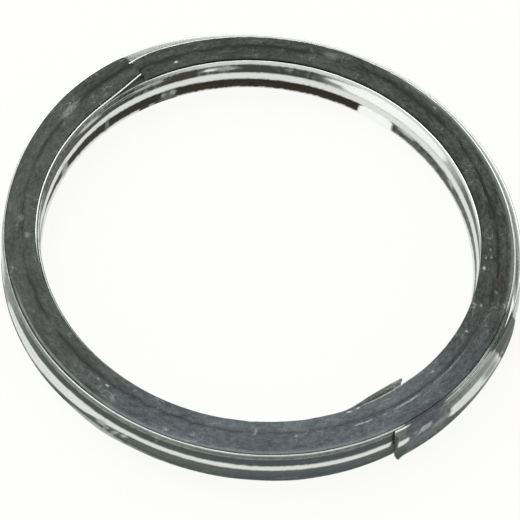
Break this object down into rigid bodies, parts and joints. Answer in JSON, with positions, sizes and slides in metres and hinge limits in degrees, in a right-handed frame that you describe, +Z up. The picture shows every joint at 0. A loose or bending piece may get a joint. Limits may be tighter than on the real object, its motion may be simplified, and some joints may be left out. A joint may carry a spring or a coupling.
{
  "type": "spiral wound gasket",
  "caption": "Ring wound from a V-profile stainless strip with a graphite filler strip between its turns, a free flap in the bore and a loose outer tail.",
  "frame": {"origin": "on the winding axis, in the plane of the lower graphite face", "axes": "+Z up along the winding axis; +X and +Y across the ring, with the flap's tip in the bore between +X and -Y and both ends of the graphite between -X and +Y"},
  "size_m": [0.0465, 0.0462, 0.0041],
  "materials": {
    "stainless_strip": "bright rolled stainless strip, dulled with graphite in places",
    "flexible_graphite": "matt pressed flexible graphite"
  },
  "bodies": {
    "root": {"winding_strip": "stainless_strip", "graphite_filler": "flexible_graphite"}
  },
  "joints": []
}
